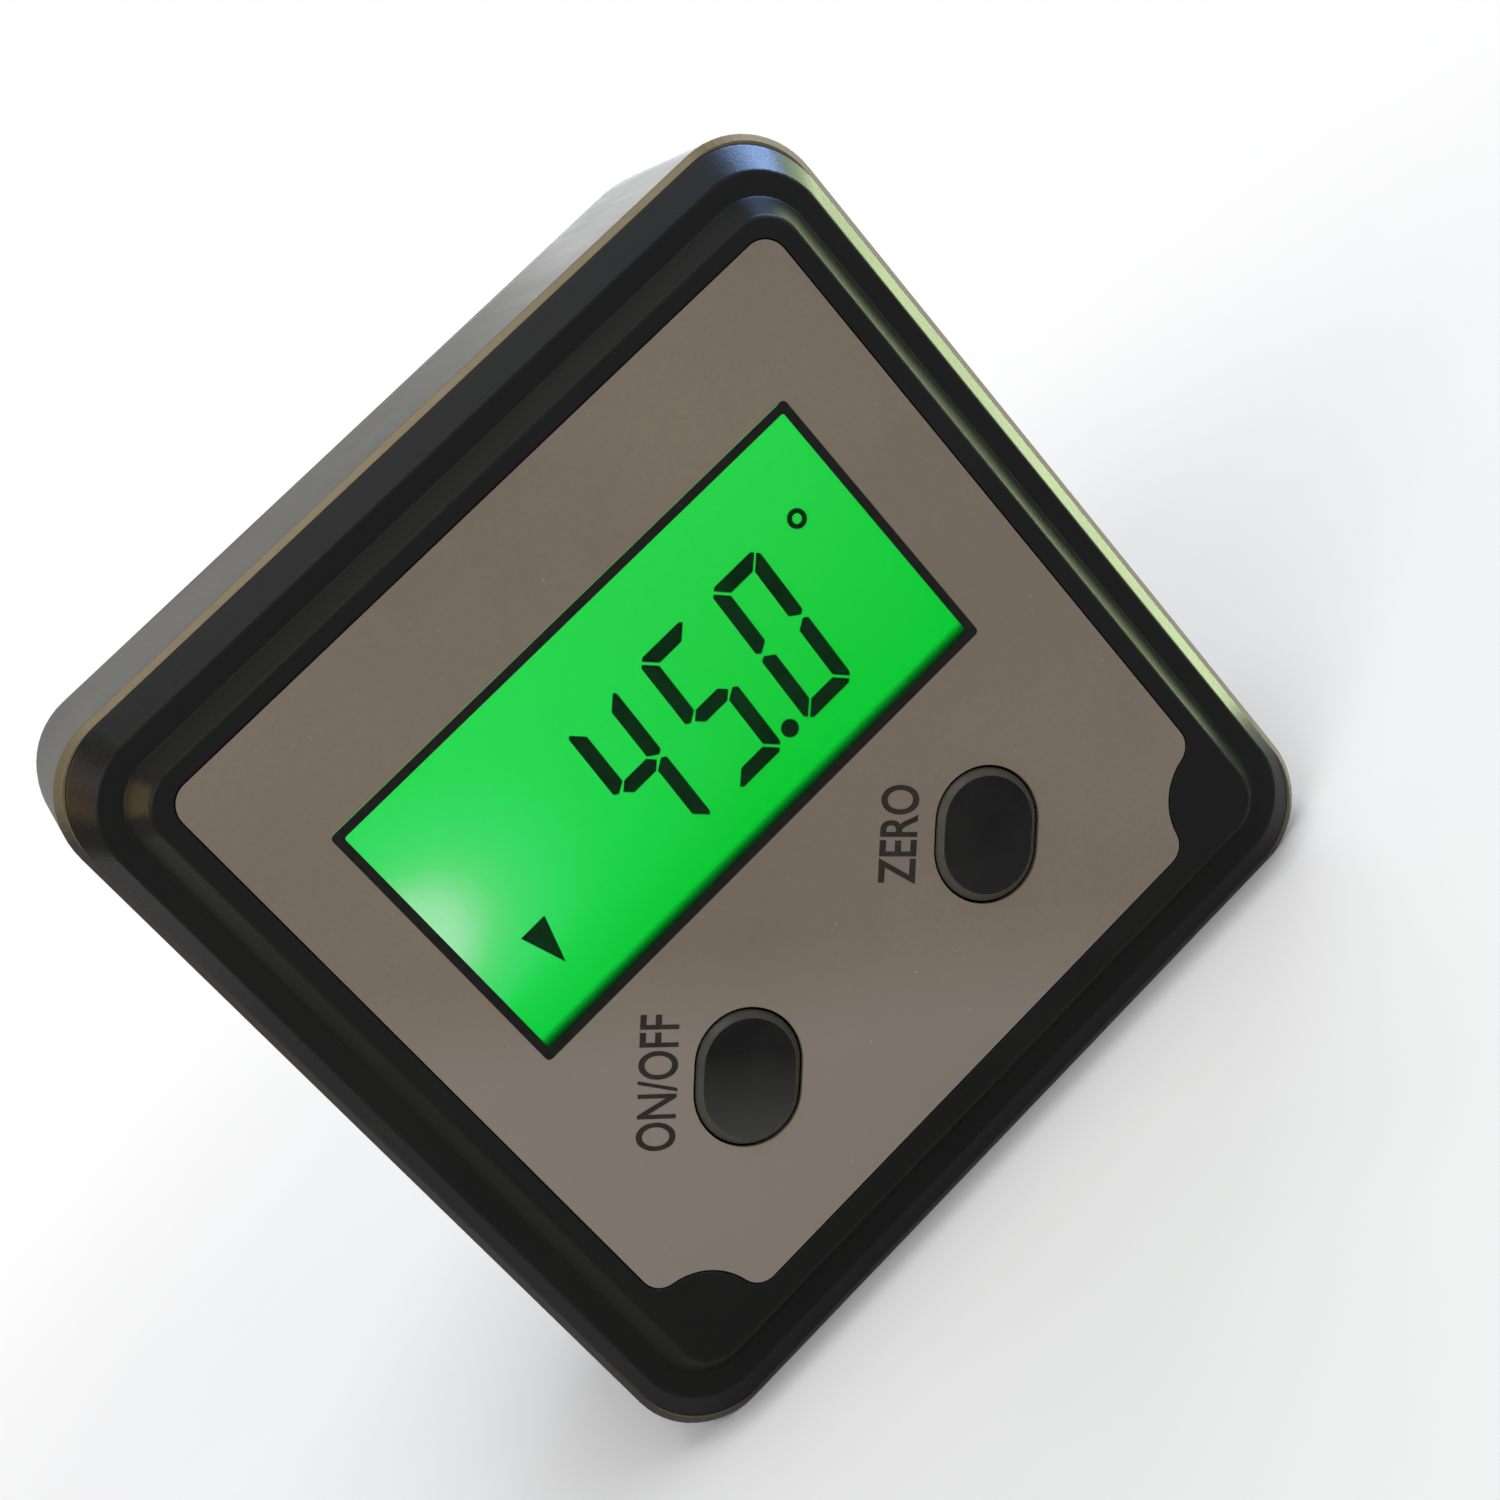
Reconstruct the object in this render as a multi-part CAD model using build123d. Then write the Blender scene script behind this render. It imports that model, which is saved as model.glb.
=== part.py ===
from build123d import *
import math
import os

# Digital angle gauge: a square metal frame clamped between a moulded front and a moulded rear cover.
# It stands on its magnetic base. X is to the right, Y runs from front to back and Z is up.
# The origin is at the middle of the base. Every "depth" is measured back from the face of the label.

# Frame, an extruded square tube
frame_width = 54.0
frame_height = 54.0
frame_radius = 4.9
frame_wall = 2.0
base_wall = 4.0
frame_inner_radius = 3.0
frame_edge = 0.4
frame_length = 16.0

# Sections along the depth
bezel_proud = 2.6
cover_proud = 11.4
key_proud = 0.3
frame_front = bezel_proud
frame_back = frame_front + frame_length
back_depth = frame_back + cover_proud
overall_depth = key_proud + back_depth
face_y = key_proud - overall_depth / 2

# Fits
slip = 0.1
key_gap = 0.15
seat_gap = 0.05

# Stepped edge of the front: how far each outline lies inside the frame (side, top, bottom)
outer_inset = (frame_edge, frame_edge, frame_edge)
ledge_outer_inset = (1.35, 2.0, 2.0)
ledge_inner_inset = (2.6, 3.25, 3.25)
rim_inset = (3.8, 4.3, 4.3)
label_inset = (5.0, 5.35, 5.85)
outer_radius = 4.9
ledge_outer_radius = 4.2
ledge_inner_radius = 3.2
rim_radius = 2.2
label_radius = 1.4
ledge_depth = 1.5
step_fillet = 0.3
bezel_wall = 1.9
spigot_wall = 1.2
front_spigot = 5.0
rear_spigot = 6.0

# Label, with a scallop round each lower screw boss
label_thickness = 0.3
scallop_radius = 3.85
scallop_offset = 0.32
scallop_fillet = 1.3

# Display
display_x = -0.3
display_above_label_centre = 5.6
window_side_margin = 5.05
window_end_margins = 25.6
window_radius = 0.3
window_thickness = 0.9
window_ledge = 0.15
window_shelf = 0.3
polarizer_thickness = 0.2
polarizer_margin = 0.5
glass_thickness = 0.55
cell_gap = 0.1
glass_margin = 1.3
glass_tab = 2.2
glass_room = 0.2
seal_width = 0.8
guide_thickness = 2.2
film_thickness = 0.1
strip_height = 1.8
strip_length = 32.0
lamp_size = 1.5
lamp_length = 3.2
lamp_above_display_centre = 1.7

# Digits
digit_width = 3.65
digit_height = 9.28
digit_pitch = 5.58
digit_stroke = 0.87
digit_gap = 0.11
digit_blunt = 0.3
digit_slant = 3.8
digits_left = -4.85
digits_above_label_centre = -0.33
point_diameter = 1.04
point_x = 5.3
ring_outer = 1.15
ring_inner = 0.6
ring_x = 13.4
ring_above_label_centre = 8.47
pointer_width = 1.78
pointer_height = 2.72
pointer_x = -12.7
pointer_above_label_centre = 2.48

# Keys
key_inset = 7.3
key_below_label_centre = 11.9
key_hole_width = 6.4
key_hole_length = 7.95
key_angle = 45.0
key_bevel = 0.45
key_dish = 0.2
key_dish_radius = 30.0
key_flange = 0.8
key_flange_width = 0.7
key_stem_diameter = 3.0
key_travel = 0.4

# Key switches on the board
switch_size = 6.2
switch_height = 1.5
plunger_diameter = 2.6
plunger_rise = key_travel + slip
plunger_length = 1.4
switch_floor = 0.15

# Main board
board_thickness = 1.2
board_gap = 0.4
post_diameter = 3.4
post_inset = 5.8
post_above_screw = 15.0
post_below_top = 14.0
board_screw_diameter = 1.6
board_screw_head = 2.8
board_screw_head_height = 0.9
board_screw_length = 3.6

# Parts on the back of the board
sensor_x = 0.0
sensor_z = 14.0
sensor_size = 5.0
sensor_rise = 1.8
controller_x = 0.0
controller_z = 39.0
controller_diameter = 9.0
controller_rise = 1.3
controller_edge = 0.7
crystal_x = 11.0
crystal_z = 39.0
crystal_length = 6.0
crystal_width = 2.0
crystal_rise = 1.9
capacitor_x = -13.0
capacitor_z = 14.0
capacitor_pitch = 3.0
capacitor_width = 1.2
capacitor_length = 2.0
capacitor_rise = 1.1
capacitor_count = 3

# Long screws that clamp the covers
screw_inset = 6.4
screw_z_low = 7.0
screw_diameter = 2.3
screw_head_diameter = 3.8
screw_head_height = 1.5
screw_length = 10.0
screw_recess_width = 0.7
screw_recess_depth = 0.8
boss_diameter = 5.0
tube_diameter = 5.6
well_diameter = 4.2
boss_meet = 12.0
screw_seat = 18.0

# Rear cover
flange_inset = (0.05, 0.05, 0.05)
block_inset = (2.0, 2.0, 2.0)
back_inset = (2.6, 2.6, 2.6)
flange_depth = 1.8
flange_edge = 0.4
block_radius = 3.4
back_radius = 2.9
back_fillet = 0.9
cover_wall = 1.6
cover_side_wall = 1.3

# Battery bay and cell
cell_diameter = 10.5
cell_end_room = 4.75
cell_rim = 0.4
nub_diameter = 3.8
nub_length = 1.0
bay_play = 0.15
bay_wall = 1.3
bay_floor = 1.3
contact_thickness = 0.3
leaf_bow = 1.3
contact_width = 7.0
tail_width = 2.0

# Battery door, with a tongue along each long edge
door_half_width = 7.0
tongue_width = 0.8
tongue_thickness = 0.8
door_thickness = 1.8
rail_thickness = 1.1
grip_length = 8.0
grip_width = 9.0
grip_depth = 0.5
grip_inset = 10.5
grip_ribs = 4
arrow_length = 4.0
arrow_width = 5.0
arrow_depth = 0.4
arrow_gap = 2.5

# Magnets in the base
magnet_diameter = 10.0
magnet_thickness = 2.8
magnet_recess = 0.1
magnet_pitch = 15.5
magnet_count = 3

# Places that follow from the sizes above
label_width = frame_width - 2 * label_inset[0]
label_height = frame_height - label_inset[1] - label_inset[2]
label_z = label_inset[2] + label_height / 2
window_width = label_width - 2 * window_side_margin
window_height = label_height - window_end_margins
display_z = label_z + display_above_label_centre
key_reach = window_width / 2 - key_inset
key_places = (display_x - key_reach, display_x + key_reach)
key_z = label_z - key_below_label_centre
inner_half_width = frame_width / 2 - frame_wall
spigot_half_width = inner_half_width - slip
spigot_bottom = base_wall + slip
spigot_top = frame_height - frame_wall - slip
screw_x = frame_width / 2 - screw_inset
screw_z_high = frame_height - screw_z_low
screw_places = [(x, z) for x in (-screw_x, screw_x) for z in (screw_z_low, screw_z_high)]
post_x = frame_width / 2 - post_inset
post_z = (screw_z_low + post_above_screw, frame_height - post_below_top)
post_places = [(x, z) for x in (-post_x, post_x) for z in post_z]
display_front = window_thickness + window_shelf
front_glass_depth = display_front + polarizer_thickness
cell_gap_depth = front_glass_depth + glass_thickness
rear_glass_depth = cell_gap_depth + cell_gap
rear_polarizer_depth = rear_glass_depth + glass_thickness
guide_depth = rear_polarizer_depth + polarizer_thickness
film_depth = guide_depth + guide_thickness
board_front = film_depth + film_thickness
board_back = board_front + board_thickness
glass_width = window_width + 2 * glass_margin
glass_height = window_height + 2 * glass_margin
polarizer_width = window_width + 2 * polarizer_margin
polarizer_height = window_height + 2 * polarizer_margin
plunger_top = board_front - switch_height - plunger_rise
bay_z = frame_height / 2
cell_length = frame_width - 2 * cell_end_room
door_inner = back_depth - door_thickness
cell_depth = door_inner - bay_play - cell_diameter / 2
bay_half_width = cell_diameter / 2 + bay_play
bay_floor_depth = cell_depth - bay_half_width
bay_length = cell_length + 2 * contact_thickness + leaf_bow
door_start = bay_length / 2 + slip
grip_x = frame_width / 2 - grip_inset
groove_half_width = door_half_width + tongue_width + slip


def face_plane(depth):
    """Plane parallel to the label, seen from the front: local x is X and local y is Z."""
    return Plane(origin=(0, face_y + depth, 0), x_dir=(1, 0, 0), z_dir=(0, -1, 0))


def slab(outline, near, far):
    """Solid with a front-view outline, from one depth back to another."""
    return extrude(face_plane(far) * outline, amount=far - near, dir=(0, -1, 0))


def taper(outline_near, near, outline_far, far):
    """Solid that runs from one outline to another, as a moulded slope does."""
    return loft([face_plane(near) * outline_near, face_plane(far) * outline_far], ruled=True)


def inset_outline(inset, radius):
    """Rounded outline inside the frame's own, by its side, top and bottom insets."""
    side, top, bottom = inset
    width = frame_width - 2 * side
    height = frame_height - top - bottom
    return Pos(0, bottom + height / 2) * RectangleRounded(width, height, radius)


def spigot_outline(wall=0.0):
    """Outline of the plug that enters the frame, or of the room inside it."""
    height = spigot_top - spigot_bottom - 2 * wall
    middle = (spigot_top + spigot_bottom) / 2
    radius = frame_inner_radius - slip - wall
    return Pos(0, middle) * RectangleRounded(2 * (spigot_half_width - wall), height, radius)


def block(x_low, x_high, z_low, z_high, near, far):
    """Rectangular solid by its limits in X, Z and depth."""
    outline = Pos((x_low + x_high) / 2, (z_low + z_high) / 2) * Rectangle(x_high - x_low, z_high - z_low)
    return slab(outline, near, far)


def round_bar(x, z, diameter, near, far):
    """Round solid whose axis runs from front to back."""
    return slab(Pos(x, z) * Circle(diameter / 2), near, far)


def key_outline(width, length, x):
    """Oval of a key, its long axis leaning to the right."""
    return Pos(x, key_z) * Rot(0, 0, key_angle) * SlotOverall(length, width)


def label_outline():
    """Label outline, with a scallop round each lower boss and rounded corners."""
    sheet = Pos(0, label_z) * Rectangle(label_width, label_height)
    for side in (-1, 1):
        x = side * (label_width / 2 - scallop_offset)
        z = label_inset[2] + scallop_offset
        sheet -= Pos(x, z) * Circle(scallop_radius)
    sheet = sheet.face()
    low = [v for v in sheet.vertices() if v.Y < label_z]
    sheet = fillet(low, scallop_fillet)
    high = [v for v in sheet.vertices() if v.Y > label_z + label_height / 2 - slip]
    return fillet(high, label_radius)


def window_outline(margin=0.0):
    """Outline of the display window, larger or smaller by a margin."""
    width = window_width + 2 * margin
    height = window_height + 2 * margin
    return Pos(display_x, display_z) * RectangleRounded(width, height, window_radius + margin)


def housing_frame():
    tube = slab(inset_outline((0, 0, 0), frame_radius), frame_front, frame_back)
    for end in (tube.faces().sort_by(Axis.Y)[0], tube.faces().sort_by(Axis.Y)[-1]):
        tube = chamfer(tube.edges().filter_by_position(Axis.Y, end.center().Y, end.center().Y), frame_edge)
    room_height = frame_height - frame_wall - base_wall
    room = Pos(0, base_wall + room_height / 2) * RectangleRounded(
        2 * inner_half_width, room_height, frame_inner_radius)
    tube -= slab(room, frame_front, frame_back)
    for x in magnet_places():
        bore = Cylinder(magnet_diameter / 2 + seat_gap, magnet_thickness + magnet_recess,
                        align=(Align.CENTER, Align.CENTER, Align.MIN))
        tube -= Pos(x, magnet_y(), 0) * bore
    return tube


def magnet_places():
    middle = (magnet_count - 1) / 2
    return [(i - middle) * magnet_pitch for i in range(magnet_count)]


def magnet_y():
    return face_y + (frame_front + frame_back) / 2


def base_magnets():
    disc = Cylinder(magnet_diameter / 2, magnet_thickness, align=(Align.CENTER, Align.CENTER, Align.MIN))
    return [Pos(x, magnet_y(), magnet_recess) * disc for x in magnet_places()]


def rounded_front(step):
    """The same slope with the edge of its front face rounded over."""
    return fillet(step.faces().sort_by(Axis.Y)[0].edges(), step_fillet)


def front_bezel():
    skirt = taper(inset_outline(ledge_outer_inset, ledge_outer_radius), ledge_depth,
                  inset_outline(outer_inset, outer_radius), frame_front)
    raised = taper(inset_outline(rim_inset, rim_radius), 0,
                   inset_outline(ledge_inner_inset, ledge_inner_radius), ledge_depth)
    shell = rounded_front(skirt) + rounded_front(raised)
    shell += slab(spigot_outline(), frame_front, frame_front + front_spigot)
    shell -= slab(spigot_outline(spigot_wall), bezel_wall, frame_front + front_spigot)
    for x, z in screw_places:
        shell += round_bar(x, z, boss_diameter, bezel_wall, boss_meet)
        shell -= round_bar(x, z, screw_diameter + slip, screw_seat - screw_length - 1.0, boss_meet)
    for x, z in post_places:
        shell += round_bar(x, z, post_diameter, bezel_wall, board_front)
        shell -= round_bar(x, z, board_screw_diameter + slip, bezel_wall, board_front)
    shell -= slab(offset(label_outline(), amount=slip), 0, label_thickness)
    shell -= slab(window_outline(), 0, window_thickness)
    shell -= slab(window_outline(-window_ledge), 0, bezel_wall)
    shell -= display_pocket()
    for x in key_places:
        shell -= slab(key_outline(key_hole_width, key_hole_length, x), 0, bezel_wall)
    return shell


def display_pocket():
    """Seat for the glass on the inner side of the front wall."""
    half = glass_width / 2 + glass_room
    low = display_z - glass_height / 2 - glass_room
    high = display_z + glass_height / 2 + glass_tab + glass_room
    return block(display_x - half, display_x + half, low, high, display_front, bezel_wall)


def face_label():
    sheet = slab(label_outline(), 0, label_thickness)
    sheet -= slab(window_outline(), 0, label_thickness)
    for x in key_places:
        sheet -= slab(key_outline(key_hole_width, key_hole_length, x), 0, label_thickness)
    return sheet


def display_window():
    return slab(window_outline(-slip), 0, window_thickness)


def display_plate(width, low, high, near, thickness):
    """Flat plate of the display stack, centred on the window."""
    half = width / 2
    return block(display_x - half, display_x + half, display_z - low, display_z + high,
                 near, near + thickness)


def front_polarizer():
    half = polarizer_height / 2
    return display_plate(polarizer_width, half, half, display_front, polarizer_thickness)


def lcd_front_glass():
    half = glass_height / 2
    return display_plate(glass_width, half, half + glass_tab, front_glass_depth, glass_thickness)


def lcd_seal():
    half = glass_height / 2
    rim = display_plate(glass_width, half, half, cell_gap_depth, cell_gap)
    room = half - seal_width
    return rim - display_plate(glass_width - 2 * seal_width, room, room, cell_gap_depth, cell_gap)


def lcd_rear_glass():
    half = glass_height / 2
    return display_plate(glass_width, half, half, rear_glass_depth, glass_thickness)


def rear_polarizer():
    half = polarizer_height / 2
    return display_plate(polarizer_width, half, half, rear_polarizer_depth, polarizer_thickness)


def guide_left():
    return display_x - polarizer_width / 2


def light_guide():
    half = polarizer_height / 2
    return display_plate(polarizer_width, half, half, guide_depth, guide_thickness)


def reflector_film():
    half = polarizer_height / 2
    return display_plate(polarizer_width, half, half, film_depth, film_thickness)


def backlight_lamp():
    z = display_z + lamp_above_display_centre
    return block(guide_left() - lamp_size, guide_left(), z - lamp_length / 2, z + lamp_length / 2,
                 board_front - lamp_size, board_front)


def contact_strip():
    low = display_z + glass_height / 2 + (glass_tab - strip_height) / 2
    half = strip_length / 2
    return block(display_x - half, display_x + half, low, low + strip_height, cell_gap_depth, board_front)


def leaned(points):
    """Points of an upright digit leaned to the right by the digits' slant."""
    lean = math.tan(math.radians(digit_slant))
    return [(x + z * lean, z) for x, z in points]


def digit_bar(letter):
    """Outline points of one bar of an upright digit, with mitred ends and blunt tips."""
    w, h, t, e, b = digit_width, digit_height, digit_stroke, digit_gap, digit_blunt
    across = [(e + b / 2, h - b / 2), (e + b, h), (w - e - b, h), (w - e - b / 2, h - b / 2),
              (w - e - t, h - t), (e + t, h - t)]
    upright = [(0, h - e - b), (b / 2, h - e - b / 2), (t, h - e - t), (t, h / 2 + e + 0.45 * t),
               (0.3 * t, h / 2 + e), (0, h / 2 + e + 0.2 * t)]
    middle = [(t / 2 + e, h / 2), (t + e, h / 2 + t / 2), (w - t - e, h / 2 + t / 2),
              (w - t / 2 - e, h / 2), (w - t - e, h / 2 - t / 2), (t + e, h / 2 - t / 2)]
    points = {"a": across, "d": across, "g": middle}.get(letter, upright)
    if letter in "bc":
        points = [(w - x, z) for x, z in points]
    if letter in "cde":
        points = [(x, h - z) for x, z in points]
    return points


def display_segments():
    """Every dark figure of the display, each a separate wafer in the gap between the glasses."""
    base = label_z + digits_above_label_centre
    figures = []
    for place, letters in enumerate(("bcfg", "acdfg", "abcdef")):
        corner = Pos(digits_left + place * digit_pitch, base)
        figures += [corner * Polygon(*leaned(digit_bar(letter)), align=None) for letter in letters]
    figures.append(Pos(point_x, base + point_diameter / 2) * Circle(point_diameter / 2))
    ring = Circle(ring_outer / 2) - Circle(ring_inner / 2)
    figures.append(Pos(ring_x, label_z + ring_above_label_centre) * ring)
    half = pointer_width / 2
    pointer = Polygon((-half, 0), (0, -pointer_height), (half, 0), align=None)
    figures.append(Pos(pointer_x, label_z + pointer_above_label_centre) * pointer)
    return [slab(figure, cell_gap_depth, rear_glass_depth) for figure in figures]


def key(x):
    """Key with a bevelled, slightly dished cap, a flange behind the wall and a stem."""
    width = key_hole_width - 2 * key_gap
    length = key_hole_length - 2 * key_gap
    cap = slab(key_outline(width, length, x), -key_proud, bezel_wall)
    cap = chamfer(cap.faces().sort_by(Axis.Y)[0].edges(), key_bevel)
    dish = Sphere(key_dish_radius)
    cap -= Pos(x, face_y - key_proud + key_dish - key_dish_radius, key_z) * dish
    wide = 2 * key_flange_width
    cap += slab(key_outline(width + wide, length + wide, x), bezel_wall, bezel_wall + key_flange)
    return cap + round_bar(x, key_z, key_stem_diameter, bezel_wall + key_flange, plunger_top)


def key_plunger(x):
    return round_bar(x, key_z, plunger_diameter, plunger_top, plunger_top + plunger_length)


def key_switches():
    housings = []
    half = switch_size / 2
    for x in key_places:
        housing = block(x - half, x + half, key_z - half, key_z + half,
                        board_front - switch_height, board_front)
        bore = round_bar(x, key_z, plunger_diameter + 2 * slip, board_front - switch_height,
                         board_front - switch_floor)
        housings.append(housing - bore)
    return housings


def main_board():
    half = spigot_half_width - spigot_wall - board_gap
    low = spigot_bottom + spigot_wall + board_gap
    high = spigot_top - spigot_wall - board_gap
    board = block(-half, half, low, high, board_front, board_back)
    reach = boss_diameter / 2 + board_gap
    for x, z in screw_places:
        inner_x = abs(x) - reach
        x_low, x_high = (inner_x, half) if x > 0 else (-half, -inner_x)
        z_low, z_high = (z - reach, high) if z > frame_height / 2 else (low, z + reach)
        board -= block(x_low, x_high, z_low, z_high, board_front, board_back)
    for x, z in post_places:
        board -= round_bar(x, z, board_screw_diameter + 2 * slip, board_front, board_back)
    return board


def board_screws():
    screws = []
    for x, z in post_places:
        head = round_bar(x, z, board_screw_head, board_back, board_back + board_screw_head_height)
        tip = board_back - board_screw_length
        screws.append(head + round_bar(x, z, board_screw_diameter, tip, board_back))
    return screws


def board_part(x, z, width, height, rise):
    """Rectangular part soldered to the back of the board."""
    half, tall = width / 2, height / 2
    return block(x - half, x + half, z - tall, z + tall, board_back, board_back + rise)


def sensor_chip():
    return board_part(sensor_x, sensor_z, sensor_size, sensor_size, sensor_rise)


def controller_chip():
    """Drop of black resin over the controller, with a sloping edge."""
    top = board_back + controller_rise
    drop = round_bar(controller_x, controller_z, controller_diameter, board_back, top)
    return chamfer(drop.faces().sort_by(Axis.Y)[-1].edges(), controller_edge)


def board_crystal():
    """Metal can of the crystal, lying on the board."""
    can = Pos(crystal_x, crystal_z) * SlotOverall(crystal_length, crystal_width)
    return slab(can, board_back, board_back + crystal_rise)


def board_capacitors():
    return [board_part(capacitor_x + i * capacitor_pitch, capacitor_z, capacitor_width, capacitor_length,
                       capacitor_rise) for i in range(capacitor_count)]


def cover_envelope():
    """Outer form of the rear cover: a flange almost level with the frame, and a drafted block."""
    flange = slab(inset_outline(flange_inset, frame_radius), frame_back, frame_back + flange_depth)
    flange = chamfer(flange.faces().sort_by(Axis.Y)[-1].edges(), flange_edge)
    hump = taper(inset_outline(block_inset, block_radius), frame_back + flange_depth,
                 inset_outline(back_inset, back_radius), back_depth)
    hump = fillet(hump.faces().sort_by(Axis.Y)[-1].edges(), back_fillet)
    return flange + hump


def bay_slab(x_low, x_high, half_width, near, far):
    """Rectangular solid centred on the height of the cell."""
    return block(x_low, x_high, bay_z - half_width, bay_z + half_width, near, far)


def rear_cover():
    shell = cover_envelope() + slab(spigot_outline(), frame_back - rear_spigot, frame_back)
    shell -= slab(spigot_outline(spigot_wall), frame_back - rear_spigot, frame_back)
    room_inset = [side + cover_side_wall for side in back_inset]
    room_outline = inset_outline(room_inset, back_radius - cover_side_wall)
    shell -= slab(room_outline, frame_back, back_depth - cover_wall)
    bay_outer = bay_length / 2 + spigot_wall / 2
    shell += bay_slab(-bay_outer, bay_outer, bay_half_width + bay_wall, bay_floor_depth - bay_floor,
                      back_depth - cover_wall)
    shell += bay_slab(-bay_outer, bay_outer, groove_half_width + rail_thickness,
                      door_inner - slip - rail_thickness, back_depth - cover_wall)
    for x, z in screw_places:
        shell += round_bar(x, z, tube_diameter, boss_meet, back_depth - cover_wall)
        shell -= round_bar(x, z, screw_diameter + 2 * slip, boss_meet, screw_seat)
        shell -= round_bar(x, z, well_diameter, screw_seat, back_depth)
    shell -= bay_slab(-bay_length / 2, bay_length / 2, bay_half_width, bay_floor_depth, door_inner)
    shell -= bay_slab(-door_start - slip, frame_width, groove_half_width, door_inner - slip,
                      door_inner + tongue_thickness + slip)
    shell -= bay_slab(-door_start - slip, frame_width, door_half_width + slip, door_inner, back_depth)
    for side in (-1, 1):
        inner, outer = sorted((side * (bay_length / 2 - 2 * contact_thickness), side * bay_length / 2))
        shell -= bay_slab(inner, outer, tail_width / 2 + slip, bay_floor_depth - bay_floor,
                          bay_floor_depth)
    return shell


def battery_door():
    plate = bay_slab(-door_start, frame_width / 2, door_half_width, door_inner, back_depth)
    plate += bay_slab(-door_start, frame_width / 2, door_half_width + tongue_width, door_inner,
                      door_inner + tongue_thickness)
    plate &= cover_envelope()
    grip = Pos(grip_x, bay_z) * RectangleRounded(grip_length, grip_width, 1.0)
    plate -= slab(grip, back_depth - grip_depth, back_depth)
    pitch = grip_length / (grip_ribs + 1)
    for i in range(grip_ribs):
        x = grip_x - grip_length / 2 + (i + 1) * pitch
        rib = Pos(x, bay_z) * SlotOverall(grip_width - 2 * pitch, pitch / 2, rotation=90)
        plate += slab(rib, back_depth - grip_depth, back_depth)
    tip = grip_x - grip_length / 2 - arrow_gap
    arrow = Polygon((tip, bay_z), (tip - arrow_length, bay_z + arrow_width / 2),
                    (tip - arrow_length, bay_z - arrow_width / 2), align=None)
    return plate - slab(arrow, back_depth - arrow_depth, back_depth)


def battery_cell():
    """Cell lying along X, its small positive end to the right."""
    radius = cell_diameter / 2
    body = cell_length - nub_length
    rim = cell_rim
    profile = Polyline((0, 0), (radius - rim, 0), (radius, rim), (radius, body - rim),
                       (radius - rim, body), (nub_diameter / 2, body),
                       (nub_diameter / 2, cell_length), (0, cell_length), close=True)
    turned = revolve(make_face(profile), axis=Axis.Y)
    start = -bay_length / 2 + contact_thickness + leaf_bow
    return Pos(start, face_y + cell_depth, bay_z) * Rot(0, 0, -90) * turned


def positive_contact():
    """Flat plate against the right end of the bay, its tail soldered to the board."""
    right = bay_length / 2
    left = right - contact_thickness
    plate = bay_slab(left, right, contact_width / 2, bay_floor_depth, door_inner - 2 * slip)
    return plate + bay_slab(left, right, tail_width / 2, board_back, bay_floor_depth)


def negative_contact():
    """Sprung leaf bowed against the flat end of the cell, on a plate at the left end of the bay."""
    left = -bay_length / 2
    right = left + contact_thickness
    plate = bay_slab(left, right, contact_width / 2, bay_floor_depth, door_inner - 2 * slip)
    plate += bay_slab(left, right, tail_width / 2, board_back, bay_floor_depth)
    half = contact_width / 2
    bow = [(right, cell_depth - half), (right + leaf_bow, cell_depth - half / 5),
           (right + leaf_bow, cell_depth + half / 5), (right, cell_depth + half),
           (right, cell_depth + half - 2 * contact_thickness),
           (right + leaf_bow - contact_thickness, cell_depth + half / 8),
           (right + leaf_bow - contact_thickness, cell_depth - half / 8),
           (right, cell_depth - half + 2 * contact_thickness)]
    section = Polygon(*[(x, face_y + depth) for x, depth in bow], align=None)
    leaf = extrude(Pos(0, 0, bay_z - half / 2) * section, amount=half)
    return plate + leaf


def cover_screws():
    screws = []
    for x, z in screw_places:
        screw = round_bar(x, z, screw_head_diameter, screw_seat, screw_seat + screw_head_height)
        top = screw_seat + screw_head_height
        half = screw_head_diameter / 2 - screw_recess_width
        bar = screw_recess_width / 2
        screw -= block(x - half, x + half, z - bar, z + bar, top - screw_recess_depth, top)
        screw -= block(x - bar, x + bar, z - half, z + half, top - screw_recess_depth, top)
        screws.append(screw + round_bar(x, z, screw_diameter, screw_seat - screw_length, screw_seat))
    return screws


pieces = {
    "housing_frame": housing_frame(),
    "base_magnets": base_magnets(),
    "front_bezel": front_bezel(),
    "face_label": face_label(),
    "display_window": display_window(),
    "front_polarizer": front_polarizer(),
    "lcd_front_glass": lcd_front_glass(),
    "display_segments": display_segments(),
    "lcd_seal": lcd_seal(),
    "lcd_rear_glass": lcd_rear_glass(),
    "rear_polarizer": rear_polarizer(),
    "light_guide": light_guide(),
    "reflector_film": reflector_film(),
    "backlight_lamp": backlight_lamp(),
    "contact_strip": contact_strip(),
    "main_board": main_board(),
    "sensor_chip": sensor_chip(),
    "controller_chip": controller_chip(),
    "board_crystal": board_crystal(),
    "board_capacitors": board_capacitors(),
    "key_switches": key_switches(),
    "on_off_button": key(key_places[0]),
    "on_off_plunger": key_plunger(key_places[0]),
    "zero_button": key(key_places[1]),
    "zero_plunger": key_plunger(key_places[1]),
    "board_screws": board_screws(),
    "rear_cover": rear_cover(),
    "battery_door": battery_door(),
    "battery_cell": battery_cell(),
    "positive_contact": positive_contact(),
    "negative_contact": negative_contact(),
    "cover_screws": cover_screws(),
}

os.makedirs("parts", exist_ok=True)
for name, solid in pieces.items():
    shape = Compound(children=solid) if isinstance(solid, list) else solid
    export_step(shape, f"parts/{name}.step")
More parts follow.
